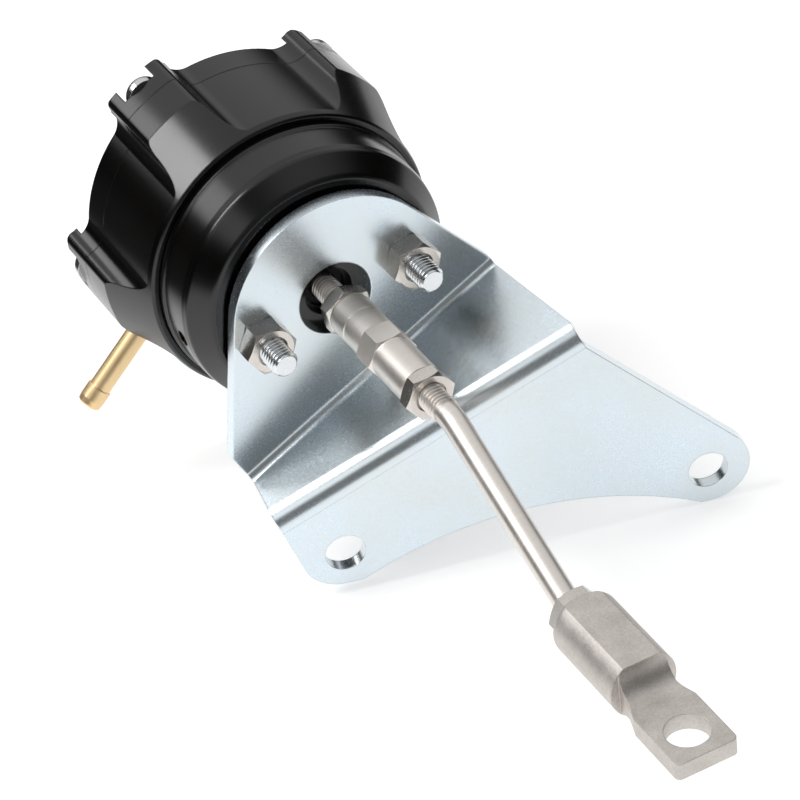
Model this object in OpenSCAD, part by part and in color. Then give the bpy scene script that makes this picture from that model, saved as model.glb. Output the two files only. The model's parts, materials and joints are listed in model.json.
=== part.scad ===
// Pneumatic actuator for the internal wastegate of a turbocharger.
// Every module draws along the actuator's own axis: z points out of the nose, towards the
// rod end, y is up, and z = 0 is the front face of the bracket around the shaft.
// in_frame() then turns and moves each piece into the part's frame: z up, the nose
// towards -y, and the origin midway between the bracket's two bolt holes.

/* [Canister] */
// Radius of the canister between its lobes
body_r = 33.5; // [33.2:0.1:34]
// Radius over the lobes
lobe_r = 38.1; // [37.8:0.1:38.6]
// Number of lobes and cap screws
lobe_count = 5; // [4:1:6]
// Direction of the first lobe, seen from the nose
lobe_first_deg = 45; // [0:1:71]
// Width of a lobe
lobe_w = 15; // [14:0.2:15.6]
// Radius of the hollow at each side of a lobe
lobe_fillet_r = 5.2; // [4.6:0.2:6]
// Parting face between cap and collar
parting_z = -44.4; // [-45:0.2:-44]
// Thickness of the cap
cap_t = 9.9; // [9.5:0.1:11]
// Front edge of the collar
collar_front_z = -20; // [-21:0.5:-19.5]
// Radius of the circle of cap screws
screw_circle_r = 34.8; // [34.6:0.1:35]
// Direction of the hose port, seen from the nose
port_deg = 223; // [215:1:235]

/* [Bracket] */
// Thickness of the bracket plate
plate_t = 3; // [2.5:0.5:3]
// Radius of the plate around the actuator axis
plate_top_r = 24.6; // [24:0.2:26]
// Hole in the bracket for the shaft
plate_hole_d = 17; // [14:0.5:18]
// Distance between the two studs
stud_spacing = 36; // [34:1:37]
// Roll of the two studs about the axis
stud_roll_deg = 9.8; // [5:0.2:15]
// Distance between the two bolt holes
bolt_spacing = 81.8; // [80:0.2:84]
// Diameter of a bolt hole
bolt_hole_d = 9; // [8:0.5:10]
// Radius of the plate around a bolt hole
bolt_lobe_r = 9.2; // [8.5:0.1:10]

/* [Rod train] */
// Width across flats of the M6 nuts
nut_af = 10; // [9.8:0.1:10]
// Outer radius of the adjuster's round ends
sleeve_r = 4.9; // [4.7:0.1:5]
// Diameter of the bent rod between its threads
rod_d = 5.5; // [5:0.1:5.8]
// Step of the bent rod, down from the actuator axis
rod_drop = 18.8; // [15:0.2:22]
// Angle of the bent rod's slanted stretch
rod_bend_deg = 24; // [21:0.5:28]
// Length of the rod end's round body
rod_end_l = 22.6; // [20:0.2:26]
// Bore in the rod end's tongue
eye_d = 9; // [8:0.1:9.2]

/* [Hidden] */
$fn = 96;

// Radius of every M6 thread, and the gap of a running fit
thread_r = 3;
run_gap = 0.05;

// Canister, along z
cap_rear_z = parting_z - cap_t;
cap_step_z = parting_z - 7.3;
screw_seat_z = parting_z - 4.9;
collar_front_r = 33.1;
cone_start_z = -34.5;
lobe_corner_r = 2.2;
bore_r = 28;
flange_r = 32;
flange_front_z = -40;
diaphragm_t = 1;
flange_rear_z = parting_z + diaphragm_t;
lip_r = 31.4;
lip_z = -18.6;
bowl_r = 31;
shoulder_z = -9.6;
bowl_front_r = 27;
bowl_front_z = -4.2;
nose_r = 22;
plate_rear_z = -plate_t;
floor_z = -9;
hub_r = 7.5;
hub_rear_z = -20;
bush_r = 5;
nose_bore_r = 5.5;
circlip_r = 6.3;
vent_deg = 189;
vent_r = 1.8;
vent_z = -13;
port_z = -48.6;

// Cap screws, M5
screw_r = 2.5;
screw_head_r = 4.15;
screw_head_h = 3.6;
screw_slot_r = 4.4;
screw_end_z = screw_seat_z + 14.5;

// Moving stack at rest, along z
washer_rear_z = -47;
washer_t = 1.5;
piston_top_z = washer_rear_z + washer_t + diaphragm_t;
piston_r = 23.5;
piston_inner_r = 21.5;
piston_skirt_z = -38;
piston_web_z = -41.5;
piston_hub_r = 8.5;
piston_hub_z = -36.5;
roll_z = -39;
roll_r = 1.75;
roll_mid_r = 25.75;
sheet_t = 0.8;
spring_seat_z = -10.5;

// Nuts and rods, along z
stud_end_z = 11.15;
nut_h = 5;
thin_nut_h = 3.6;
locknut1_z = 3.3;
sleeve_z = locknut1_z + thin_nut_h;
groove_z = 12.9;
hex_z = 19.5;
hex_end_z = 25.7;
sleeve_end_z = 38.3;
shaft_front_z = sleeve_z + 12;
shaft_rear_z = -50.4;
link_start_z = sleeve_end_z - 13;
rod_r = rod_d / 2;
rear_bend_r = 10;
front_bend_r = 8;
rear_thread_z = 48.3;
bend1_z = 50.9;
bend2_z = bend1_z + rod_drop / tan(rod_bend_deg);
front_thread_z = bend2_z + 1.8;
rod_end_z = bend2_z + 5.2;
link_end_z = rod_end_z + 12;
rod_end_front_z = rod_end_z + rod_end_l;
rod_end_r = 7.25;
rod_end_flat = 5.95;
neck_w = 10.6;
tongue_t = 3.8;
tongue_w = 13.5;
eye_z = rod_end_front_z + 15.4;
tongue_end_z = eye_z + 7.1;

// Bracket planes: n is a plane's normal, on the side that the nose faces
bend1_deg = 25.4;
bend1_at = [-25.94, -36.65, 0];
web_angle = 82;
upper_n = [0, 0, 1];
bend1_dir = [cos(bend1_deg), sin(bend1_deg), 0];
bend1_up = [-sin(bend1_deg), cos(bend1_deg), 0];
web_dir = cos(web_angle) * -bend1_up + sin(web_angle) * upper_n;
web_n = cross(web_dir, bend1_dir);
plate_yaw = 13.85;
bolt_roll = -1.5;
bolt_front = [26.48, -53, 26.77];
lower_h = [cos(plate_yaw), 0, sin(plate_yaw)];
lower_n = [-sin(plate_yaw), 0, cos(plate_yaw)];
bolt_back = bolt_front - plate_t * lower_n;
fold2 = cross(web_n, lower_n);
bend2_dir = fold2 / norm(fold2);
bend2_angle = acos(web_n * lower_n);
bend2_at = ((web_n * bend1_at) * cross(lower_n, fold2)
    + (lower_n * bolt_front) * cross(fold2, web_n)) / (fold2 * fold2);
inner_bend_r = 2;
bend_lap_deg = 2;
bend_trim = 0.02;
outer_bend_r = inner_bend_r + plate_t;
bend1_len = inner_bend_r * tan(web_angle / 2);
bend2_len = outer_bend_r * tan(bend2_angle / 2);
web_back = cross(web_n, bend2_dir);
lower_down = cross(bend2_dir, lower_n);
bend1_left = 0.3;
bend1_right = 70.2;
bend2_left = -36.5;
bend2_right = 39.1;

// Where a plate's visible face ends at the second bend, at a place along that bend
function fold2_end(t, away) = bend2_at + t * bend2_dir + bend2_len * away;

// Turns the drawing axes into the part's frame and sets its origin
module in_frame() {
    translate([-bolt_back.x, bolt_back.z, -bolt_back.y])
        rotate([90, 0, 0])
            children();
}

// Repeats its children at every lobe
module at_lobes() {
    for (i = [0 : lobe_count - 1])
        rotate([0, 0, lobe_first_deg + i * 360 / lobe_count])
            children();
}

// Outline of the canister: a round with lobes, hollowed out beside each lobe.
// Arcs that would just touch are overlapped by a hair, so that they cross.
module lobed_outline() {
    hair = 0.03;
    corner_at_r = lobe_r - lobe_corner_r + hair;
    hollow_at_r = body_r + lobe_fillet_r;
    corner_deg = asin((lobe_w / 2 - lobe_corner_r) / corner_at_r);
    apart_deg = acos((pow(hollow_at_r, 2) + pow(corner_at_r, 2)
        - pow(lobe_fillet_r + lobe_corner_r, 2)) / (2 * hollow_at_r * corner_at_r));
    corner = corner_at_r * [cos(corner_deg), sin(corner_deg)];
    hollow = hollow_at_r * [cos(corner_deg + apart_deg), sin(corner_deg + apart_deg)];
    touch = hollow * body_r / hollow_at_r;
    meet_deg = atan2(hollow.y - corner.y, hollow.x - corner.x);
    steps = 4;
    edge = [
        touch - [4, 1], touch,
        for (k = [0 : steps])
            let (a = meet_deg + (corner_deg - meet_deg) * k / steps)
                corner + lobe_corner_r * [cos(a), sin(a)],
        [lobe_r + 1, corner.y + lobe_corner_r * sin(corner_deg)]
    ];
    circle(body_r, $fn = 180);
    intersection() {
        circle(lobe_r, $fn = 180);
        at_lobes()
            difference() {
                polygon([
                    for (point = edge) point,
                    for (k = [len(edge) - 1 : -1 : 0]) [edge[k].x, -edge[k].y]
                ]);
                for (side = [-1, 1])
                    translate([hollow.x, side * hollow.y])
                        circle(lobe_fillet_r + hair);
            }
    }
}

// A washer between two z heights
module ring(inner, outer, z0, z1) {
    rotate_extrude()
        translate([inner, z0])
            square([outer - inner, z1 - z0]);
}

// A hexagon with its corners turned off at 30 degrees at both ends
module hex_bar(af, h) {
    corner_r = af / 2 / cos(30);
    drop = (corner_r + 0.1 - (af / 2 - 0.15)) * tan(30);
    intersection() {
        cylinder(r = corner_r, h = h, $fn = 6);
        rotate_extrude()
            polygon([
                [0, 0], [af / 2 - 0.15, 0], [corner_r + 0.1, drop],
                [corner_r + 0.1, h - drop], [af / 2 - 0.15, h], [0, h]
            ]);
    }
}

// An M6 nut with a countersink at both faces
module nut(h, bore) {
    sink = 0.5;
    difference() {
        hex_bar(nut_af, h);
        rotate_extrude()
            polygon([
                [0, -1], [bore + sink, -1], [bore + sink, 0], [bore, sink],
                [bore, h - sink], [bore + sink, h], [bore + sink, h + 1], [0, h + 1]
            ]);
    }
}

// A round rod with a chamfer at each end, or a sharp end where the chamfer is 0
module rod(r, z0, z1, chamfer0, chamfer1) {
    rotate_extrude()
        polygon([
            [0, z0],
            if (chamfer0 > 0) [r - chamfer0, z0],
            [r, z0 + chamfer0], [r, z1 - chamfer1],
            if (chamfer1 > 0) [r - chamfer1, z1],
            [0, z1]
        ]);
}

// A coil of round wire from z0 to z1, closed and level at both ends
module coil(mid_r, wire_r, z0, z1, turns) {
    sides = 8;
    steps = 16;
    count = steps * turns;
    low = z0 + wire_r;
    high = z1 - wire_r;
    function height(t) = t < 1 ? low + wire_r * t * t
        : t > turns - 1 ? high - wire_r * pow(turns - t, 2)
        : low + wire_r + (high - low - 2 * wire_r) * (t - 1) / (turns - 2);
    points = [
        for (i = [0 : count], k = [0 : sides - 1])
            let (turn = i / steps, a = 360 * turn, w = 360 * k / sides)
                [
                    (mid_r + wire_r * cos(w)) * cos(a), (mid_r + wire_r * cos(w)) * sin(a),
                    height(turn) + wire_r * sin(w)
                ]
    ];
    skin = [
        for (i = [0 : count - 1], k = [0 : sides - 1])
            let (a = i * sides + k, b = i * sides + (k + 1) % sides)
                [a, b, b + sides, a + sides]
    ];
    polyhedron(points, concat([for (f = skin) [f[0], f[3], f[2], f[1]]],
        [[for (k = [0 : sides - 1]) k]],
        [[for (k = [sides - 1 : -1 : 0]) count * sides + k]]));
}

// Draws its children in the plane through at with axes u and v
module on_plane(at, u, v) {
    w = cross(u, v);
    multmatrix([
        [u.x, v.x, w.x, at.x], [u.y, v.y, w.y, at.y],
        [u.z, v.z, w.z, at.z], [0, 0, 0, 1]
    ])
        children();
}

module pressure_cap() {
    chamber_rear_z = -50.5;
    color([0.08, 0.08, 0.085])
        difference() {
            intersection() {
                translate([0, 0, cap_rear_z])
                    linear_extrude(cap_t)
                        lobed_outline();
                rotate_extrude($fn = 180)
                    polygon([
                        [0, cap_rear_z], [lobe_r - 0.3, cap_rear_z], [lobe_r, cap_rear_z + 0.3],
                        [lobe_r, parting_z], [0, parting_z]
                    ]);
            }
            // Step in the rear face, with a boss left around the hose port
            difference() {
                ring(29.5, 35.4, cap_rear_z - 1, cap_step_z);
                rotate([0, 0, port_deg])
                    translate([bore_r, 0, port_z])
                        rotate([0, 90, 0])
                            cylinder(r = 4.6, h = 10);
            }
            ring(24, 25.2, cap_rear_z - 1, cap_rear_z + 0.6);
            // Pressure chamber, with a ring that stops the piston
            rotate_extrude()
                polygon([
                    [0, -51], [7, -51], [7, chamber_rear_z], [12, chamber_rear_z],
                    [12, washer_rear_z - run_gap], [15, washer_rear_z - run_gap],
                    [15, -48.5], [bore_r - 1.5, -48.5], [bore_r, -47],
                    [bore_r, parting_z + 1], [0, parting_z + 1]
                ]);
            // Screw pockets, open to the outside, and screw holes
            at_lobes() {
                translate([screw_circle_r, 0, cap_rear_z - 1])
                    cylinder(r = screw_slot_r, h = screw_seat_z - cap_rear_z + 1);
                translate([screw_circle_r, -screw_slot_r + 0.3, cap_rear_z - 1])
                    cube([6, 2 * screw_slot_r - 0.6, screw_seat_z - cap_rear_z + 1]);
                translate([screw_circle_r, 0, screw_seat_z - 1])
                    cylinder(r = screw_r, h = 8);
            }
            // Hose port
            rotate([0, 0, port_deg])
                translate([bore_r - 3, 0, port_z])
                    rotate([0, 90, 0])
                        cylinder(r = 2.2, h = 12);
            rotate([0, 0, port_deg])
                translate([body_r - 0.9, 0, port_z])
                    rotate([0, 90, 0])
                        cylinder(r = 3.7, h = 4);
        }
}

module clamp_collar() {
    color([0.08, 0.08, 0.085])
        difference() {
            intersection() {
                translate([0, 0, parting_z])
                    linear_extrude(collar_front_z - parting_z)
                        lobed_outline();
                rotate_extrude($fn = 180)
                    polygon([
                        [0, parting_z], [lobe_r, parting_z], [lobe_r, cone_start_z],
                        [collar_front_r, collar_front_z - 0.4],
                        [collar_front_r - 0.5, collar_front_z], [0, collar_front_z]
                    ]);
            }
            rotate_extrude($fn = 180)
                polygon([
                    [0, parting_z - 1], [flange_r + 0.1, parting_z - 1],
                    [flange_r + 0.1, flange_front_z], [lip_r + 0.1, flange_front_z],
                    [lip_r + 0.1, collar_front_z + 1], [0, collar_front_z + 1]
                ]);
            at_lobes()
                translate([screw_circle_r, 0, parting_z - 1])
                    cylinder(r = screw_r, h = screw_end_z - parting_z + 1.3);
        }
}

module spring_housing() {
    round_r = 1.6;
    color([0.07, 0.07, 0.075])
        difference() {
            rotate_extrude($fn = 180)
                polygon([
                    [bore_r, flange_rear_z], [flange_r, flange_rear_z],
                    [flange_r, flange_front_z], [lip_r, flange_front_z],
                    [lip_r, lip_z], [bowl_r, lip_z + 0.5], [bowl_r - 0.2, shoulder_z - 1],
                    [bowl_r - 0.4, shoulder_z],
                    for (a = [10 : 10 : 40])
                        [bowl_r - 0.4 - round_r + round_r * cos(a),
                            shoulder_z + round_r * sin(a)],
                    [bowl_front_r, bowl_front_z - 0.7], [bowl_front_r - 0.4, bowl_front_z - 0.3],
                    [bowl_front_r - 1, bowl_front_z], [nose_r, bowl_front_z],
                    [nose_r, plate_rear_z], [nose_bore_r, plate_rear_z],
                    [nose_bore_r, floor_z], [bush_r, floor_z],
                    [bush_r, hub_rear_z], [hub_r, hub_rear_z], [hub_r, floor_z],
                    [nose_r, floor_z], [bore_r - 0.6, -14.5], [bore_r, -15.5]
                ]);
            // Groove for the circlip
            ring(bush_r, circlip_r, -5.9, -4.9);
            // Stud holes
            rotate([0, 0, stud_roll_deg])
                for (side = [-1, 1])
                    translate([side * stud_spacing / 2, 0, floor_z - 1])
                        cylinder(r = thread_r, h = 10);
            // Vent
            rotate([0, 0, vent_deg])
                translate([bore_r - 6, 0, vent_z])
                    rotate([0, 90, 0])
                        cylinder(r = vent_r, h = 12);
        }
}

module hose_barb() {
    tube_r = 2.5;
    barb_r = 2.85;
    shoulder = 53.3;
    land = 3;
    tip = 58;
    base = body_r - 0.2;
    color([0.82, 0.66, 0.32])
        rotate([0, 0, port_deg])
            translate([0, 0, port_z])
                rotate([0, 90, 0])
                    difference() {
                        rotate_extrude()
                            polygon([
                                [0, bore_r + 1], [2.2, bore_r + 1], [2.2, base],
                                [3.5, base], [3.5, base + 0.7], [tube_r + 0.4, base + 0.9],
                                [tube_r + 0.4, base + 2.1], [tube_r, base + 2.5],
                                [tube_r, shoulder], [barb_r, shoulder],
                                [barb_r, shoulder + land], [barb_r - 0.15, tip - 0.4],
                                [barb_r - 0.5, tip], [0, tip]
                            ]);
                        translate([0, 0, bore_r])
                            cylinder(r = 1.5, h = tip - bore_r + 1);
                    }
}

module port_seal() {
    color([0.1, 0.1, 0.1])
        rotate([0, 0, port_deg])
            translate([0, 0, port_z])
                rotate([0, 90, 0])
                    ring(2.2, 3.4, body_r - 0.9, body_r - 0.2);
}

module cap_screws() {
    dome_r = 2.2;
    color([0.78, 0.78, 0.8])
        at_lobes()
            translate([screw_circle_r, 0, 0])
                difference() {
                    rotate_extrude()
                        polygon([
                            [0, screw_end_z], [screw_r - 0.5, screw_end_z],
                            [screw_r, screw_end_z - 0.5], [screw_r, screw_seat_z],
                            [screw_head_r, screw_seat_z],
                            for (a = [0 : 15 : 75])
                                [screw_head_r - dome_r + dome_r * cos(a),
                                    screw_seat_z - screw_head_h + dome_r - dome_r * sin(a)],
                            [0, screw_seat_z - screw_head_h]
                        ]);
                    translate([0, 0, screw_seat_z - screw_head_h - 1])
                        cylinder(r = 2 / cos(30), h = 3.5, $fn = 6);
                }
}

module mounting_studs() {
    color([0.86, 0.87, 0.88])
        rotate([0, 0, stud_roll_deg])
            for (side = [-1, 1])
                translate([side * stud_spacing / 2, 0, 0])
                    rod(thread_r, floor_z, stud_end_z, 0.6, 0.7);
}

module stud_nuts() {
    turns = [3.6, 11.1];
    color([0.66, 0.63, 0.6])
        for (i = [0, 1])
            rotate([0, 0, stud_roll_deg])
                translate([(2 * i - 1) * stud_spacing / 2, 0, 0])
                    rotate([0, 0, turns[i] - stud_roll_deg])
                        nut(nut_h, thread_r);
}

// Flat around the shaft: a round that runs down to the first bend
module upper_flat() {
    top_at = [0.8, -0.8];
    left_deg = 171;
    right_deg = 38.5;
    left_at = [bend1_at.x, bend1_at.y] + bend1_left * [bend1_dir.x, bend1_dir.y];
    right_at = [bend1_at.x, bend1_at.y] + bend1_right * [bend1_dir.x, bend1_dir.y];
    up = [bend1_up.x, bend1_up.y];
    left_touch = top_at + plate_top_r * [cos(left_deg), sin(left_deg)];
    right_touch = top_at + plate_top_r * [cos(right_deg), sin(right_deg)];
    left_edge = [-sin(left_deg), cos(left_deg)];
    left_corner = left_at + cross(left_touch - left_at, left_edge) / cross(up, left_edge) * up;
    translate([0, 0, plate_rear_z])
        linear_extrude(plate_t) {
            translate(top_at)
                circle(plate_top_r);
            polygon([
                top_at, left_touch, left_corner, left_at + bend1_len * up,
                right_at + bend1_len * up, right_touch
            ]);
        }
}

// Bent corner: a slice of tube about a bend line, turned from one surface normal to another.
// It is a hair thinner than the flats, and runs into them at both ends.
module bend(center, dir, from_dir, to_dir, start, end) {
    turn = cross(from_dir, to_dir);
    axis = turn / norm(turn);
    first = axis * dir > 0 ? start : end;
    on_plane(center + first * dir, from_dir, cross(axis, from_dir))
        rotate([0, 0, -bend_lap_deg])
            rotate_extrude(angle = acos(from_dir * to_dir) + 2 * bend_lap_deg)
                translate([inner_bend_r + bend_trim, 2 * bend_trim])
                    square([plate_t - 2 * bend_trim, end - start - 4 * bend_trim]);
}

module bracket() {
    color([0.72, 0.76, 0.8])
        difference() {
            union() {
                upper_flat();
                first_bend();
                web();
                second_bend();
                lower_plate();
            }
            translate([0, 0, plate_rear_z - 1])
                cylinder(d = plate_hole_d, h = plate_t + 2);
            rotate([0, 0, stud_roll_deg])
                for (side = [-1, 1])
                    translate([side * stud_spacing / 2, 0, plate_rear_z - 1])
                        cylinder(r = thread_r, h = plate_t + 2);
            on_plane(bolt_back, lower_h, [0, 1, 0])
                rotate([0, 0, bolt_roll])
                    for (side = [-1, 1])
                        translate([side * bolt_spacing / 2, 0, -1])
                            cylinder(d = bolt_hole_d, h = plate_t + 2);
        }
}

// First bend, hollow side towards the nose
module first_bend() {
    center = bend1_at + bend1_len * bend1_up + inner_bend_r * upper_n;
    bend(center, bend1_dir, -upper_n, -web_n, bend1_left, bend1_right);
}

// Web: reaches forward from the first bend to the second
module web() {
    left = fold2_end(bend2_left, web_back) - bend1_at;
    right = fold2_end(bend2_right, web_back) - bend1_at;
    on_plane(bend1_at, bend1_dir, web_dir)
        linear_extrude(plate_t)
            polygon([
                [bend1_left, bend1_len], [bend1_right, bend1_len],
                [right * bend1_dir, right * web_dir], [left * bend1_dir, left * web_dir]
            ]);
}

// Second bend, round side towards the nose
module second_bend() {
    middle = web_n + lower_n;
    center = bend2_at - outer_bend_r / cos(bend2_angle / 2) * middle / norm(middle);
    bend(center, bend2_dir, web_n, lower_n, bend2_left, bend2_right);
}

// Lower plate with its two bolt lobes and the hollow edge between them
module lower_plate() {
    lobe_rise = 0.7;
    half = bolt_spacing / 2;
    hollow_r = 84;
    hollow_at = [-1.4, -83.3];
    left_at = [-half - 0.5, lobe_rise + 1.1];
    right_at = [half + 0.4, lobe_rise - 1.2];
    left_deg = 199.3;
    right_deg = 43.3;
    left_touch = left_at + bolt_lobe_r * [cos(left_deg), sin(left_deg)];
    right_touch = right_at + bolt_lobe_r * [cos(right_deg), sin(right_deg)];
    left_top = fold2_end(bend2_left, lower_down) - bolt_front;
    right_top = fold2_end(bend2_right, lower_down) - bolt_front;
    on_plane(bolt_back, lower_h, [0, 1, 0])
        linear_extrude(plate_t) {
            translate(left_at)
                circle(bolt_lobe_r);
            translate(right_at)
                circle(bolt_lobe_r);
            difference() {
                polygon([
                    left_touch, [left_top * lower_h, left_top.y],
                    [right_top * lower_h, right_top.y], right_touch,
                    right_at + [0, -bolt_lobe_r], left_at + [0, -bolt_lobe_r]
                ]);
                translate(hollow_at)
                    circle(hollow_r, $fn = 240);
            }
        }
}

module diaphragm() {
    inner_leg = roll_mid_r - roll_r;
    outer_leg = roll_mid_r + roll_r;
    half = sheet_t / 2;
    disc_rear_z = piston_top_z - diaphragm_t;
    color([0.15, 0.15, 0.16])
        rotate_extrude()
            polygon([
                [thread_r, disc_rear_z], [inner_leg + half - 0.8, disc_rear_z],
                [inner_leg + half, disc_rear_z + 0.8], [inner_leg + half, roll_z],
                for (a = [180 : -15 : 0])
                    [roll_mid_r + (roll_r - half) * cos(a), roll_z + (roll_r - half) * sin(a)],
                [outer_leg - half, parting_z], [flange_r, parting_z],
                [flange_r, flange_rear_z], [outer_leg + half, flange_rear_z],
                [outer_leg + half, roll_z],
                for (a = [0 : 15 : 180])
                    [roll_mid_r + (roll_r + half) * cos(a), roll_z + (roll_r + half) * sin(a)],
                [inner_leg - half, piston_top_z], [thread_r, piston_top_z]
            ]);
}

module piston() {
    color([0.75, 0.76, 0.78])
        rotate_extrude()
            polygon([
                [thread_r, piston_top_z], [piston_r - 0.5, piston_top_z],
                [piston_r, piston_top_z + 0.5], [piston_r, piston_skirt_z],
                [piston_inner_r, piston_skirt_z], [piston_inner_r, piston_web_z],
                [piston_hub_r, piston_web_z], [piston_hub_r, piston_hub_z],
                [thread_r, piston_hub_z]
            ]);
}

module diaphragm_washer() {
    color([0.7, 0.7, 0.72])
        ring(thread_r, 20, washer_rear_z, washer_rear_z + washer_t);
}

module piston_nut() {
    color([0.7, 0.7, 0.72])
        translate([0, 0, washer_rear_z - 3.2])
            nut(3.2, thread_r);
}

module outer_spring() {
    color([0.35, 0.37, 0.4])
        coil(18, 1.7, piston_web_z, spring_seat_z, 5);
}

module inner_spring() {
    color([0.4, 0.42, 0.45])
        coil(12.4, 1.2, piston_web_z, spring_seat_z, 7);
}

module spring_seat() {
    color([0.6, 0.6, 0.62])
        rotate_extrude()
            polygon([
                [hub_r + 0.1, floor_z], [20.6, floor_z], [20.6, spring_seat_z],
                [10.9, spring_seat_z], [10.9, spring_seat_z - 2.5],
                [hub_r + 0.1, spring_seat_z - 2.5]
            ]);
}

module shaft_bush() {
    color([0.7, 0.5, 0.3])
        ring(thread_r + run_gap, bush_r, hub_rear_z, floor_z);
}

module shaft_wiper() {
    color([0.15, 0.15, 0.15])
        rotate_extrude()
            polygon([
                [thread_r + 0.6, floor_z], [nose_bore_r, floor_z], [nose_bore_r, -5.9],
                [thread_r + 0.1, -5.9], [thread_r + 0.1, -6.6], [thread_r + 0.6, -7.4]
            ]);
}

module wiper_circlip() {
    color([0.3, 0.3, 0.3])
        difference() {
            ring(nose_bore_r - 0.9, circlip_r, -5.9, -4.9);
            translate([0, 5, -5.4])
                cube([2.4, 4, 3], center = true);
        }
}

module actuator_shaft() {
    color([0.72, 0.7, 0.67])
        rod(thread_r, shaft_rear_z, shaft_front_z, 0.6, 0.6);
}

module shaft_locknut() {
    color([0.5, 0.48, 0.46])
        translate([0, 0, locknut1_z])
            rotate([0, 0, 37.5])
                nut(thin_nut_h, thread_r);
}

module adjuster_sleeve() {
    groove = 0.25;
    color([0.75, 0.72, 0.68])
        difference() {
            union() {
                rotate_extrude()
                    polygon([
                        [0, sleeve_z], [sleeve_r - 0.4, sleeve_z], [sleeve_r, sleeve_z + 0.4],
                        [sleeve_r, groove_z - groove], [sleeve_r - groove, groove_z],
                        [sleeve_r, groove_z + groove], [sleeve_r, sleeve_end_z - 0.4],
                        [sleeve_r - 0.4, sleeve_end_z], [0, sleeve_end_z]
                    ]);
                translate([0, 0, hex_z])
                    rotate([0, 0, 3])
                        hex_bar(nut_af, hex_end_z - hex_z);
            }
            translate([0, 0, sleeve_z - 1])
                cylinder(r = thread_r + run_gap, h = sleeve_end_z - sleeve_z + 2);
        }
}

module rod_locknut() {
    color([0.6, 0.58, 0.55])
        translate([0, 0, sleeve_end_z])
            rotate([0, 0, 5.7])
                nut(thin_nut_h, thread_r);
}

// Bent rod: thread, bend, slant, bend, thread, all in one upright plane
module link_rod() {
    rear_len = rear_bend_r * tan(rod_bend_deg / 2);
    front_len = front_bend_r * tan(rod_bend_deg / 2);
    slant_at = [
        0, rear_bend_r * (cos(rod_bend_deg) - 1),
        bend1_z - rear_len + rear_bend_r * sin(rod_bend_deg)
    ];
    color([0.78, 0.75, 0.71]) {
        rod(thread_r, link_start_z, rear_thread_z, 0.6, 0.25);
        rod(rod_r, rear_thread_z - 1, bend1_z - rear_len, 0, 0);
        translate([0, 0, bend1_z - rear_len])
            rod_bend(rear_bend_r);
        translate(slant_at)
            rotate([rod_bend_deg, 0, 0])
                cylinder(r = rod_r, h = (bend2_z - bend1_z) / cos(rod_bend_deg)
                    - rear_len - front_len);
        translate([0, -rod_drop, bend2_z + front_len])
            rotate([180, 0, 0])
                rod_bend(front_bend_r);
        translate([0, -rod_drop, 0]) {
            rod(rod_r, bend2_z + front_len, front_thread_z + 1, 0, 0);
            rod(thread_r, front_thread_z, link_end_z, 0.25, 0.6);
        }
    }
}

// A bend of the rod that starts at the origin along z and turns down.
// It is a hair thinner than the straights, and runs into them at both ends.
module rod_bend(bend_r) {
    translate([0, -bend_r, 0])
        rotate([90, 0, 90])
            rotate([0, 0, -bend_lap_deg])
                rotate_extrude(angle = rod_bend_deg + 2 * bend_lap_deg)
                    translate([bend_r, 0])
                        circle(rod_r - bend_trim);
}

module rod_end_locknut() {
    color([0.6, 0.58, 0.55])
        translate([0, -rod_drop, rod_end_z - thin_nut_h])
            rotate([0, 0, 6])
                nut(thin_nut_h, thread_r);
}

// Round body with two flats that necks down to a flat drilled tongue below its axis
module rod_end() {
    rear_round_r = 1.8;
    color([0.63, 0.61, 0.59])
        translate([0, -rod_drop, 0])
            difference() {
                union() {
                    intersection() {
                        rotate_extrude()
                            polygon([
                                [0, rod_end_z],
                                for (a = [0 : 15 : 90])
                                    [rod_end_r - rear_round_r * (1 - sin(a)),
                                        rod_end_z + rear_round_r * (1 - cos(a))],
                                [rod_end_r, rod_end_front_z], [0, rod_end_front_z]
                            ]);
                        translate([-rod_end_r - 1, -rod_end_flat, rod_end_z - 1])
                            cube([2 * rod_end_r + 2, 2 * rod_end_flat, rod_end_l + 2]);
                    }
                    intersection() {
                        translate([0, 0, rod_end_front_z - 1])
                            cylinder(r = rod_end_r - bend_trim, h = 8);
                        rotate([90, 0, 90])
                            translate([0, 0, -tongue_w / 2])
                                linear_extrude(tongue_w)
                                    neck_profile();
                        rotate([90, 0, 0])
                            translate([0, 0, -rod_end_r])
                                linear_extrude(2 * rod_end_r)
                                    tongue_outline();
                    }
                    rotate([90, 0, 0])
                        linear_extrude(tongue_t)
                            tongue_outline();
                }
                translate([0, 0, eye_z])
                    rotate([90, 0, 0])
                        cylinder(d = eye_d, h = 20, center = true);
                translate([0, 0, rod_end_z - 1])
                    cylinder(r = thread_r, h = 15);
            }
}

// Neck of the rod end seen from the side: x is up and y runs along the rod.
// A round hollow on each side leads from the body to the tongue.
module neck_profile() {
    top_hollow_r = 5.6;
    low_hollow_r = rod_end_flat - tongue_t;
    difference() {
        polygon([
            [-rod_end_flat, rod_end_front_z - 1], [top_hollow_r, rod_end_front_z - 1],
            [top_hollow_r, rod_end_front_z], [0, rod_end_front_z + top_hollow_r],
            [-tongue_t, rod_end_front_z + top_hollow_r],
            [-tongue_t, rod_end_front_z + low_hollow_r], [-rod_end_flat, rod_end_front_z]
        ]);
        translate([top_hollow_r, rod_end_front_z + top_hollow_r])
            circle(top_hollow_r);
        translate([-rod_end_flat, rod_end_front_z + low_hollow_r])
            circle(low_hollow_r);
    }
}

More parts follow.
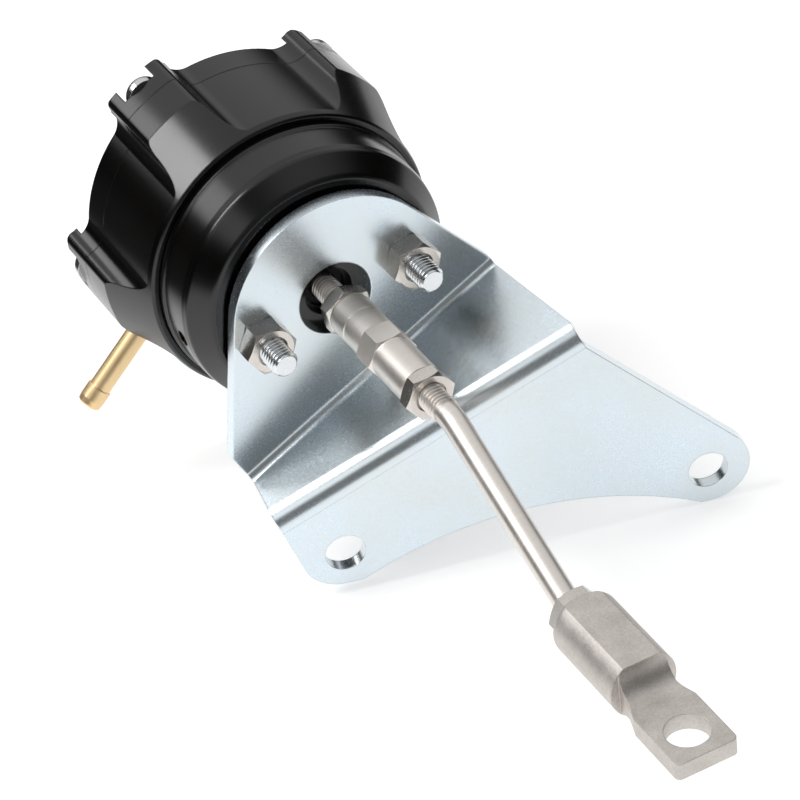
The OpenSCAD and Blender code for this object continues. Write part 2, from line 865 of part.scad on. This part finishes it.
// Tongue seen from above: the neck, a flare and a square end with round corners
module tongue_outline() {
    half = tongue_w / 2;
    corner_r = 1.2;
    flare_start_z = rod_end_front_z + 3.1;
    flare_end_z = rod_end_front_z + 7.6;
    polygon([
        [-neck_w / 2, rod_end_front_z - 2], [neck_w / 2, rod_end_front_z - 2],
        [neck_w / 2, flare_start_z], [half, flare_end_z],
        [half, tongue_end_z - corner_r], [half - corner_r, tongue_end_z],
        [-half + corner_r, tongue_end_z], [-half, tongue_end_z - corner_r],
        [-half, flare_end_z], [-neck_w / 2, flare_start_z]
    ]);
    for (side = [-1, 1])
        translate([side * (half - corner_r), tongue_end_z - corner_r])
            circle(corner_r);
}

in_frame() pressure_cap();
in_frame() clamp_collar();
in_frame() spring_housing();
in_frame() hose_barb();
in_frame() port_seal();
in_frame() cap_screws();
in_frame() mounting_studs();
in_frame() stud_nuts();
in_frame() bracket();
in_frame() diaphragm();
in_frame() piston();
in_frame() diaphragm_washer();
in_frame() piston_nut();
in_frame() outer_spring();
in_frame() inner_spring();
in_frame() spring_seat();
in_frame() shaft_bush();
in_frame() shaft_wiper();
in_frame() wiper_circlip();
in_frame() actuator_shaft();
in_frame() shaft_locknut();
in_frame() adjuster_sleeve();
in_frame() rod_locknut();
in_frame() link_rod();
in_frame() rod_end_locknut();
in_frame() rod_end();
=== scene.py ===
"""Looks of a pneumatic wastegate actuator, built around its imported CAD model."""

import json
import math

import bmesh
import bpy
from mathutils import Matrix, Vector


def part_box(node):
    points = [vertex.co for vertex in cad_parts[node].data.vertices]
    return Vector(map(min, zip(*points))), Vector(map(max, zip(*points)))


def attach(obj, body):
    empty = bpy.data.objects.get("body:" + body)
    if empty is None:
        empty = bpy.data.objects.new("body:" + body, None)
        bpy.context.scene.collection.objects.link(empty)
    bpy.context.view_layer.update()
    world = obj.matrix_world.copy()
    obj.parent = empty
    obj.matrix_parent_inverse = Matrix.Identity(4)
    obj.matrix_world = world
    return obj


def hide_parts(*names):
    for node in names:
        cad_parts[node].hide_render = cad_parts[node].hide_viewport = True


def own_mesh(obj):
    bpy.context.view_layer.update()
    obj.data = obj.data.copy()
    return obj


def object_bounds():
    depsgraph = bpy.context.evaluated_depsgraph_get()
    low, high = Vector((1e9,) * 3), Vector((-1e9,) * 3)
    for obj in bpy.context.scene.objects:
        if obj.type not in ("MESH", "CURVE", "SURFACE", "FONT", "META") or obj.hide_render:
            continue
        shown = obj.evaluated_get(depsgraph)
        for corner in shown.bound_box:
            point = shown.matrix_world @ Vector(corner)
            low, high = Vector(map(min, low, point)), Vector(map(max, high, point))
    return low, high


MM = 0.001

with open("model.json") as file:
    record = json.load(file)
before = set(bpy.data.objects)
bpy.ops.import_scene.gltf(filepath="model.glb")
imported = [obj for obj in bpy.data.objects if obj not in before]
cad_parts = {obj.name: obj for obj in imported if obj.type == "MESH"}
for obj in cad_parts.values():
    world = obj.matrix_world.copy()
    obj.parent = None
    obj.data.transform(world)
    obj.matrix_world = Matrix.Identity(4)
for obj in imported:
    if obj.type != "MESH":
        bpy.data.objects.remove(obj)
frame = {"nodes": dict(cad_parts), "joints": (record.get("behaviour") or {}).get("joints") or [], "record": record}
cad_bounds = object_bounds()
nodes = frame["nodes"]

# Places in the script are along the actuator's own axis, in millimetres: z out of the nose
# from the bracket's front face, y up and x to the right.
turn_joint = next(j for j in frame["joints"] if j["name"] == "adjuster_turn")
AXIS_X = turn_joint["pos_m"][0]
AXIS_Z = turn_joint["pos_m"][2]
FACE_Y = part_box("stud_nuts")[1].y


def at(x, y, z):
    return Vector((AXIS_X + x * MM, FACE_Y - z * MM, AXIS_Z + y * MM))


# Camera, fitted to the photograph's view of the canister, the studs and the bracket
CAMERA_AT = Vector((-260.8, -526.9, 482.4)) * MM
CAMERA_RIGHT = Vector((0.8735, -0.4757, -0.1034))
CAMERA_UP = Vector((0.3643, 0.4980, 0.7870))
LENS_MM = 157.5
SENSOR_MM = 36


def add_camera():
    right = CAMERA_RIGHT.normalized()
    back = right.cross(CAMERA_UP).normalized()
    up = back.cross(right)
    data = bpy.data.cameras.new("camera")
    data.lens = LENS_MM
    data.sensor_width = SENSOR_MM
    camera = bpy.data.objects.new("camera", data)
    rows = Matrix((right, up, back)).transposed().to_4x4()
    camera.matrix_world = Matrix.Translation(CAMERA_AT) @ rows
    bpy.context.scene.collection.objects.link(camera)
    bpy.context.scene.camera = camera


add_camera()


# Shader nodes that several materials and the world share


def combined(tree, operation, a, b):
    """One maths step on two sockets."""
    made = tree.nodes.new("ShaderNodeMath")
    made.operation = operation
    tree.links.new(a, made.inputs[0])
    tree.links.new(b, made.inputs[1])
    return made.outputs["Value"]


def mapped(tree, value, from_min, from_max, to_min, to_max, interpolation="LINEAR"):
    """Maps from_min to to_min and from_max to to_max, and stays at these values beyond."""
    made = tree.nodes.new("ShaderNodeMapRange")
    made.interpolation_type = interpolation
    made.inputs["From Min"].default_value = from_min
    made.inputs["From Max"].default_value = from_max
    made.inputs["To Min"].default_value = to_min
    made.inputs["To Max"].default_value = to_max
    tree.links.new(value, made.inputs["Value"])
    return made.outputs["Result"]


def reach(tree, coords, direction):
    """How far a point or a view lies in a direction."""
    made = tree.nodes.new("ShaderNodeVectorMath")
    made.operation = "DOT_PRODUCT"
    made.inputs[1].default_value = direction
    tree.links.new(coords, made.inputs[0])
    return made.outputs["Value"]


# Materials

# Nearly all of a noise's values lie in this range
NOISE_LOW = 0.3
NOISE_HIGH = 0.7

EDGE_SAMPLES = 6


def noise(tree, coords, scale, detail=3, stretch=(1, 1, 1)):
    mapping = tree.nodes.new("ShaderNodeMapping")
    mapping.inputs["Scale"].default_value = stretch
    made = tree.nodes.new("ShaderNodeTexNoise")
    made.inputs["Scale"].default_value = scale
    made.inputs["Detail"].default_value = detail
    tree.links.new(coords, mapping.inputs["Vector"])
    tree.links.new(mapping.outputs["Vector"], made.inputs["Vector"])
    return made.outputs["Fac"]


def surface(name, dark, light, metal, rough, patch, grain, stretch, bump, edge=0.25,
            bump_mm=0.02, ior=1.5):
    """A finish whose colour and roughness wander together. patch and grain are noise scales
    per metre, bump and bump_mm the grain's strength and depth, and edge the rounding of edges
    in mm."""
    material = bpy.data.materials.new(name)
    material.use_nodes = True
    tree = material.node_tree
    shader = tree.nodes["Principled BSDF"]
    shader.inputs["Metallic"].default_value = metal
    shader.inputs["IOR"].default_value = ior
    coords = tree.nodes.new("ShaderNodeTexCoord").outputs["Object"]
    wide = noise(tree, coords, patch)
    fine = noise(tree, coords, grain, 4, stretch)
    mixed = combined(tree, "ADD", mapped(tree, wide, NOISE_LOW, NOISE_HIGH, 0, 0.5),
                     mapped(tree, fine, NOISE_LOW, NOISE_HIGH, 0, 0.5))
    tint = tree.nodes.new("ShaderNodeMix")
    tint.data_type = "RGBA"
    tint.inputs["A"].default_value = (*dark, 1)
    tint.inputs["B"].default_value = (*light, 1)
    tree.links.new(mixed, tint.inputs["Factor"])
    tree.links.new(tint.outputs["Result"], shader.inputs["Base Color"])
    tree.links.new(mapped(tree, mixed, 0, 1, *rough), shader.inputs["Roughness"])
    relief = tree.nodes.new("ShaderNodeBump")
    relief.inputs["Strength"].default_value = bump
    relief.inputs["Distance"].default_value = bump_mm * MM
    tree.links.new(fine, relief.inputs["Height"])
    bevel = tree.nodes.new("ShaderNodeBevel")
    bevel.samples = EDGE_SAMPLES
    bevel.inputs["Radius"].default_value = edge * MM
    tree.links.new(bevel.outputs["Normal"], relief.inputs["Normal"])
    tree.links.new(relief.outputs["Normal"], shader.inputs["Normal"])
    return material


# How the fine grain is stretched: turning marks run around the rods
AROUND = (0.05, 1, 0.05)
EVEN = (1, 1, 1)

# In order: darkest and lightest colour, metal or not, least and most roughness, the scales of
# the patches and of the grain, the grain's stretch and its strength

black = surface("black_anodised", (0.0008, 0.0006, 0.0005), (0.0018, 0.0013, 0.0011), 0.0,
                (0.18, 0.23), 60, 2500, EVEN, 0.08, edge=0.45, ior=1.55)
zinc = surface("plate_zinc", (0.69, 0.725, 0.71), (0.72, 0.83, 0.93), 1.0,
               (0.20, 0.30), 45, 1800, EVEN, 0.1, edge=0.4)
stud_zinc = surface("stud_zinc", (0.66, 0.69, 0.71), (0.80, 0.83, 0.85), 1.0,
                    (0.16, 0.26), 150, 2500, EVEN, 0.1, edge=0.06)
nut_steel = surface("nut_steel", (0.58, 0.55, 0.51), (0.74, 0.70, 0.65), 1.0,
                    (0.21, 0.29), 200, 2500, EVEN, 0.08, edge=0.1)
rod_steel = surface("rod_stainless", (0.76, 0.715, 0.67), (0.86, 0.815, 0.765), 1.0,
                    (0.36, 0.46), 120, 2500, AROUND, 0.1, edge=0.1)
end_steel = surface("rod_end_steel", (0.51, 0.475, 0.44), (0.75, 0.71, 0.67), 1.0,
                    (0.46, 0.58), 220, 2200, EVEN, 0.7, edge=0.3, bump_mm=0.06)
brass = surface("brass", (0.86, 0.62, 0.33), (0.94, 0.72, 0.43), 1.0,
                (0.36, 0.44), 150, 2500, EVEN, 0.03, edge=0.12)
screw_steel = surface("screw_steel", (0.62, 0.63, 0.64), (0.74, 0.75, 0.76), 1.0,
                      (0.18, 0.26), 200, 2500, EVEN, 0.15, edge=0.2)
clip_steel = surface("clip_steel", (0.002, 0.002, 0.002), (0.004, 0.004, 0.004), 0.0,
                     (0.25, 0.35), 200, 2500, EVEN, 0.2, edge=0.1, ior=1.3)
spring_steel = surface("spring_steel", (0.20, 0.21, 0.23), (0.28, 0.29, 0.31), 1.0,
                       (0.28, 0.4), 200, 2500, EVEN, 0.2, edge=0.1)
pressed_aluminium = surface("piston_aluminium", (0.66, 0.67, 0.69), (0.76, 0.77, 0.79), 1.0,
                            (0.28, 0.38), 80, 1500, EVEN, 0.2)
bronze = surface("bush_bronze", (0.42, 0.25, 0.11), (0.54, 0.34, 0.17), 1.0,
                 (0.35, 0.5), 300, 4000, EVEN, 0.4, edge=0.15)
rubber = surface("seal_rubber", (0.002, 0.002, 0.002), (0.005, 0.005, 0.005), 0.0,
                 (0.4, 0.5), 200, 3000, EVEN, 0.3, edge=0.15, ior=1.3)
cloth = surface("diaphragm_cloth", (0.03, 0.03, 0.032), (0.05, 0.05, 0.053), 0.0,
                (0.6, 0.75), 200, 3500, EVEN, 0.6, edge=0.15)

FINISHES = {
    "black_anodised": black, "plate_zinc": zinc, "stud_zinc": stud_zinc,
    "nut_steel": nut_steel, "rod_stainless": rod_steel, "rod_end_steel": end_steel,
    "brass": brass, "screw_steel": screw_steel, "spring_steel": spring_steel,
    "bush_bronze": bronze, "clip_steel": clip_steel, "piston_aluminium": pressed_aluminium,
    "seal_rubber": rubber, "diaphragm_cloth": cloth,
}
for part in frame["record"]["subparts"]:
    mesh = nodes[part["node"]].data
    mesh.materials.clear()
    mesh.materials.append(FINISHES[part["material_slot"]])


# Pieces built as grids of rings


def ring_mesh(name, rings, material):
    """A closed skin over rings of equal count, with both ends filled."""
    count = len(rings[0])
    points = [point for ring in rings for point in ring]
    faces = []
    for row in range(len(rings) - 1):
        for side in range(count):
            here = row * count + side
            beside = row * count + (side + 1) % count
            faces.append((here, beside, beside + count, here + count))
    faces.append(tuple(reversed(range(count))))
    last = (len(rings) - 1) * count
    faces.append(tuple(range(last, last + count)))
    mesh = bpy.data.meshes.new(name)
    mesh.from_pydata(points, [], faces)
    mesh.validate()
    mesh.materials.append(material)
    piece = bpy.data.objects.new(name, mesh)
    bpy.context.scene.collection.objects.link(piece)
    for face in mesh.polygons:
        face.use_smooth = len(face.vertices) == 4
    return piece


def joined(name, pieces):
    bpy.ops.object.select_all(action="DESELECT")
    for piece in pieces:
        piece.select_set(True)
    bpy.context.view_layer.objects.active = pieces[0]
    bpy.ops.object.join()
    pieces[0].name = name
    pieces[0].data.name = name
    return pieces[0]


# All threads are M6
THREAD_R = 3.0
PITCH = 1.0
THREAD_DEPTH = 0.6
WELD_MM = 0.002

# Sides of the plain round stretches
ROUND_SIDES = 48


def thread(name, x, y, z0, z1, chamfer0, chamfer1, material):
    """A screw thread along z: rows of points that climb by one pitch for each turn. A pitch
    has a flat crest, a slope, a flat root and a slope, counted in rows."""
    sides = 40
    steps = 8
    crest = 1
    root = 2
    total = int((z1 - z0) / PITCH * steps) + 2 * steps
    rings = []
    for row in range(total):
        phase = row % steps
        if phase <= crest:
            deep = 0
        elif phase < steps / 2:
            deep = (phase - crest) / (steps / 2 - crest)
        elif phase <= steps / 2 + root - 1:
            deep = 1
        else:
            deep = (steps - phase) / (steps - steps / 2 - root + 1)
        ring = []
        for side in range(sides):
            angle = 2 * math.pi * side / sides
            z = z0 + PITCH * (row / steps + side / sides - 1)
            z = min(max(z, z0), z1)
            limit = min(THREAD_R - chamfer0 + (z - z0), THREAD_R - chamfer1 + (z1 - z))
            radius = min(THREAD_R - deep * THREAD_DEPTH, limit)
            ring.append(at(x + radius * math.cos(angle), y + radius * math.sin(angle), z))
        rings.append(ring)
    # Where the turn closes, each row goes on in the row one pitch further along
    points = [point for ring in rings for point in ring]
    faces = []
    for row in range(total - 1):
        for side in range(sides):
            here = row * sides + side
            beside = here + 1
            if side == sides - 1:
                beside = (row + steps) * sides
            if beside + sides < len(points):
                faces.append((here, beside, beside + sides, here + sides))
    mesh = bpy.data.meshes.new(name)
    mesh.from_pydata(points, [], faces)
    close_ends(mesh)
    mesh.materials.append(material)
    for face in mesh.polygons:
        face.use_smooth = len(face.vertices) <= 4
    piece = bpy.data.objects.new(name, mesh)
    bpy.context.scene.collection.objects.link(piece)
    return piece


def close_ends(mesh):
    """Welds the points that a thread's flat ends squeeze together and fills both ends."""
    weld = bmesh.new()
    weld.from_mesh(mesh)
    bmesh.ops.remove_doubles(weld, verts=weld.verts, dist=WELD_MM * MM)
    bmesh.ops.dissolve_degenerate(weld, edges=weld.edges, dist=WELD_MM * MM)
    rim = [edge for edge in weld.edges if edge.is_boundary]
    bmesh.ops.holes_fill(weld, edges=rim, sides=0)
    bmesh.ops.recalc_face_normals(weld, faces=weld.faces)
    weld.to_mesh(mesh)
    weld.free()


def turned(name, profile, material):
    """A turned piece on the actuator's axis: profile is a list of (radius, z)."""
    rings = []
    for radius, z in profile:
        ring = []
        for side in range(ROUND_SIDES):
            angle = 2 * math.pi * side / ROUND_SIDES
            ring.append(at(radius * math.cos(angle), radius * math.sin(angle), z))
        rings.append(ring)
    return ring_mesh(name, rings, material)


# Studs with their threads
STUD_SPACING = 36
STUD_ROLL = math.radians(9.8)
STUD_REAR_Z = -9
STUD_END_Z = 11.15
END_CHAMFER = 0.6
STUD_CHAMFER = 0.75


def studs():
    pieces = []
    for side in (-1, 1):
        x = side * STUD_SPACING / 2 * math.cos(STUD_ROLL)
        y = side * STUD_SPACING / 2 * math.sin(STUD_ROLL)
        pieces.append(thread("stud", x, y, STUD_REAR_Z, STUD_END_Z, END_CHAMFER, STUD_CHAMFER,
                             stud_zinc))
    return joined("threaded_studs", pieces)


stud_piece = studs()
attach(stud_piece, "housing")
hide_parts("mounting_studs")

# Shaft: ground inside the canister and threaded from the nose on
SHAFT_REAR_Z = -50.4
SHAFT_THREAD_Z = -6
SHAFT_FRONT_Z = 18.9


def shaft():
    small_r = THREAD_R - END_CHAMFER
    profile = [
        (small_r, SHAFT_REAR_Z), (THREAD_R, SHAFT_REAR_Z + END_CHAMFER),
        (THREAD_R, SHAFT_THREAD_Z), (small_r, SHAFT_THREAD_Z + END_CHAMFER),
    ]
    pieces = [
        turned("ground", profile, rod_steel),
        thread("screw", 0, 0, SHAFT_THREAD_Z, SHAFT_FRONT_Z, END_CHAMFER, END_CHAMFER,
               rod_steel),
    ]
    return joined("threaded_shaft", pieces)


shaft_piece = shaft()
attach(shaft_piece, "shaft")
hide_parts("actuator_shaft")

# Link rod: thread, bend, slant, bend, thread
ROD_R = 2.75
ROD_DROP = 18.8
ROD_BEND = math.radians(24)
REAR_BEND_R = 10
FRONT_BEND_R = 8
LINK_START_Z = 25.3
REAR_THREAD_Z = 48.3
BEND1_Z = 50.9
BEND2_Z = BEND1_Z + ROD_DROP / math.tan(ROD_BEND)
FRONT_THREAD_Z = BEND2_Z + 1.8
LINK_END_Z = BEND2_Z + 17.2
REAR_OVERLAP = 0.8
FRONT_OVERLAP = 0.5


def link_path():
    """Points of the smooth stretch as (y, z, slant): it reaches a little into both threads."""
    rear = REAR_BEND_R * math.tan(ROD_BEND / 2)
    front = FRONT_BEND_R * math.tan(ROD_BEND / 2)
    steps = 12
    path = [(0, REAR_THREAD_Z - REAR_OVERLAP, 0)]
    for step in range(steps + 1):
        slant = ROD_BEND * step / steps
        path.append((REAR_BEND_R * (math.cos(slant) - 1),
                     BEND1_Z - rear + REAR_BEND_R * math.sin(slant), slant))
    for step in range(steps + 1):
        slant = ROD_BEND * (1 - step / steps)
        path.append((-ROD_DROP + FRONT_BEND_R * (1 - math.cos(slant)),
                     BEND2_Z + front - FRONT_BEND_R * math.sin(slant), slant))
    path.append((-ROD_DROP, FRONT_THREAD_Z + FRONT_OVERLAP, 0))
    return path


def link_rod():
    rings = []
    for y, z, slant in link_path():
        ring = []
        for side in range(ROUND_SIDES):
            angle = 2 * math.pi * side / ROUND_SIDES
            across = ROD_R * math.sin(angle)
            ring.append(at(ROD_R * math.cos(angle), y + across * math.cos(slant),
                           z + across * math.sin(slant)))
        rings.append(ring)
    pieces = [
        ring_mesh("smooth", rings, rod_steel),
        thread("rear", 0, 0, LINK_START_Z, REAR_THREAD_Z, END_CHAMFER, END_CHAMFER,
               rod_steel),
        thread("front", 0, -ROD_DROP, FRONT_THREAD_Z, LINK_END_Z, END_CHAMFER, END_CHAMFER,
               rod_steel),
    ]
    return joined("bent_link_rod", pieces)


link_piece = link_rod()
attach(link_piece, "link")
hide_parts("link_rod")

# Springs, with round wire
SPRING_REAR_Z = -41.5
SPRING_FRONT_Z = -10.5


def spring(name, mid_r, wire_r, turns):
    """A coil of round wire whose first and last turns are closed."""
    sides = 12
    steps = 36
    low = SPRING_REAR_Z + wire_r
    high = SPRING_FRONT_Z - wire_r
    rings = []
    for step in range(steps * turns + 1):
        turn = step / steps
        if turn < 1:
            z = low + wire_r * turn ** 2
        elif turn > turns - 1:
            z = high - wire_r * (turns - turn) ** 2
        else:
            z = low + wire_r + (high - low - 2 * wire_r) * (turn - 1) / (turns - 2)
        angle = 2 * math.pi * turn
        ring = []
        for side in range(sides):
            around = 2 * math.pi * side / sides
            radius = mid_r + wire_r * math.cos(around)
            ring.append(at(radius * math.cos(angle), radius * math.sin(angle),
                           z + wire_r * math.sin(around)))
        rings.append(ring)
    return ring_mesh(name, rings, spring_steel)


for name, node, mid_r, wire_r, turns in (
    ("outer_coil", "outer_spring", 18, 1.7, 5),
    ("inner_coil", "inner_spring", 12.4, 1.2, 7),
):
    coil = spring(name, mid_r, wire_r, turns)
    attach(coil, "housing")
    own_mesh(coil)
    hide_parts(node)


# Floor, background and lights, in metres
FLOOR_GAP = 0.5 * MM
FLOOR_Z = cad_bounds[0][2] - FLOOR_GAP
FLOOR_HALF = 6.0
FLOOR_TONE = (0.88, 0.88, 0.88, 1)
ROOM_TONE = (0.01, 0.01, 0.01, 1)

# The floor's own light, for the camera and for what the object mirrors
FLOOR_LIFT = 0.45

# In what the object mirrors, the white table ends behind it, at its left, in a dark room
TABLE_END_SIDE = (-0.6, 0.8, 0)
TABLE_FADE_START = 0.16
TABLE_FADE_END = 0.25


def add_floor():
    mesh = bpy.data.meshes.new("floor")
    signs = [(-1, -1), (1, -1), (1, 1), (-1, 1)]
    corners = [(x * FLOOR_HALF, y * FLOOR_HALF, 0) for x, y in signs]
    mesh.from_pydata(corners, [], [(0, 1, 2, 3)])
    floor = bpy.data.objects.new("floor", mesh)
    floor.location.z = FLOOR_Z
    bpy.context.scene.collection.objects.link(floor)
    material = bpy.data.materials.new("floor")
    material.use_nodes = True
    tree = material.node_tree
    shader = tree.nodes["Principled BSDF"]
    shader.inputs["Roughness"].default_value = 0.6
    shader.inputs["Specular IOR Level"].default_value = 0.2
    shader.inputs["Emission Color"].default_value = (1, 1, 1, 1)
    path = tree.nodes.new("ShaderNodeLightPath")
    coords = tree.nodes.new("ShaderNodeTexCoord").outputs["Object"]
    away = reach(tree, coords, TABLE_END_SIDE)
    table = mapped(tree, away, TABLE_FADE_START, TABLE_FADE_END, 1, 0, "SMOOTHSTEP")
    mirrored = combined(tree, "MULTIPLY", path.outputs["Is Glossy Ray"], table)
    seen = combined(tree, "MAXIMUM", path.outputs["Is Camera Ray"], mirrored)
    lift = mapped(tree, seen, 0, 1, 0, FLOOR_LIFT)
    tree.links.new(lift, shader.inputs["Emission Strength"])
    beyond = combined(tree, "SUBTRACT", path.outputs["Is Glossy Ray"], mirrored)
    tone = tree.nodes.new("ShaderNodeMix")
    tone.data_type = "RGBA"
    tone.inputs["A"].default_value = FLOOR_TONE
    tone.inputs["B"].default_value = ROOM_TONE
    tree.links.new(beyond, tone.inputs["Factor"])
    tree.links.new(tone.outputs["Result"], shader.inputs["Base Color"])
    mesh.materials.append(material)


add_floor()


# Both softboxes face one point of the object, from this distance in metres
LIT_MIDDLE = Vector((-0.01, 0.0, 0.04))
SOFTBOX_DISTANCE = 1.1


def add_softbox(name, direction, long_axis, width, length, power):
    """A rectangular softbox that faces the object, with its length along long_axis."""
    data = bpy.data.lights.new(name, "AREA")
    data.shape = "RECTANGLE"
    data.size = width
    data.size_y = length
    data.energy = power
    outward = Vector(direction).normalized()
    across = Vector(long_axis).cross(outward).normalized()
    rows = Matrix((across, outward.cross(across), outward)).transposed().to_4x4()
    lamp = bpy.data.objects.new(name, data)
    lamp.matrix_world = Matrix.Translation(LIT_MIDDLE + outward * SOFTBOX_DISTANCE) @ rows
    bpy.context.scene.collection.objects.link(lamp)


add_softbox("left_softbox", direction=(-0.63, 0.21, 0.75), long_axis=(0.7, -0.1, 0.7),
            width=0.34, length=0.54, power=5.0)
add_softbox("rear_softbox", direction=(-0.45, 0.77, 0.43), long_axis=(0.3, 0.3, -0.9),
            width=0.34, length=0.3, power=0.8)

# The room is dim, with round soft patches of light on its sky: a wide tent above and a little
# behind the object, a panel high at its front left, and a weak glow in front of it. Each has
# its middle, the degrees from there at which it starts and stops to fade, and its brightness.
ROOM_LIGHT = 0.02
SKY_PATCHES = (
    ((0.15, 0.36, 0.92), 42, 62, 0.8),
    ((-0.67, -0.36, 0.65), 10, 18, 1.3),
    ((-0.1, -0.93, 0.35), 20, 50, 0.2),
)


def sky_patch(tree, middle, inner, outer, light):
    """A round patch on the sky: its light within inner of its middle, the room's from outer."""
    view = tree.nodes.new("ShaderNodeTexCoord").outputs["Generated"]
    facing = reach(tree, view, Vector(middle).normalized())
    edge_in = math.cos(math.radians(inner))
    edge_out = math.cos(math.radians(outer))
    return mapped(tree, facing, edge_out, edge_in, ROOM_LIGHT, light, "SMOOTHSTEP")


def add_world():
    world = bpy.data.worlds.new("world")
    bpy.context.scene.world = world
    world.use_nodes = True
    tree = world.node_tree
    back = tree.nodes["Background"]
    back.inputs["Color"].default_value = (1, 1, 1, 1)
    lit = sky_patch(tree, *SKY_PATCHES[0])
    for patch in SKY_PATCHES[1:]:
        lit = combined(tree, "MAXIMUM", lit, sky_patch(tree, *patch))
    # The camera itself sees an even white sky
    path = tree.nodes.new("ShaderNodeLightPath")
    strength = tree.nodes.new("ShaderNodeMapRange")
    strength.inputs["To Max"].default_value = 1.0
    tree.links.new(path.outputs["Is Camera Ray"], strength.inputs["Value"])
    tree.links.new(lit, strength.inputs["To Min"])
    tree.links.new(strength.outputs["Result"], back.inputs["Strength"])


add_world()
bpy.context.scene.view_settings.view_transform = "Standard"
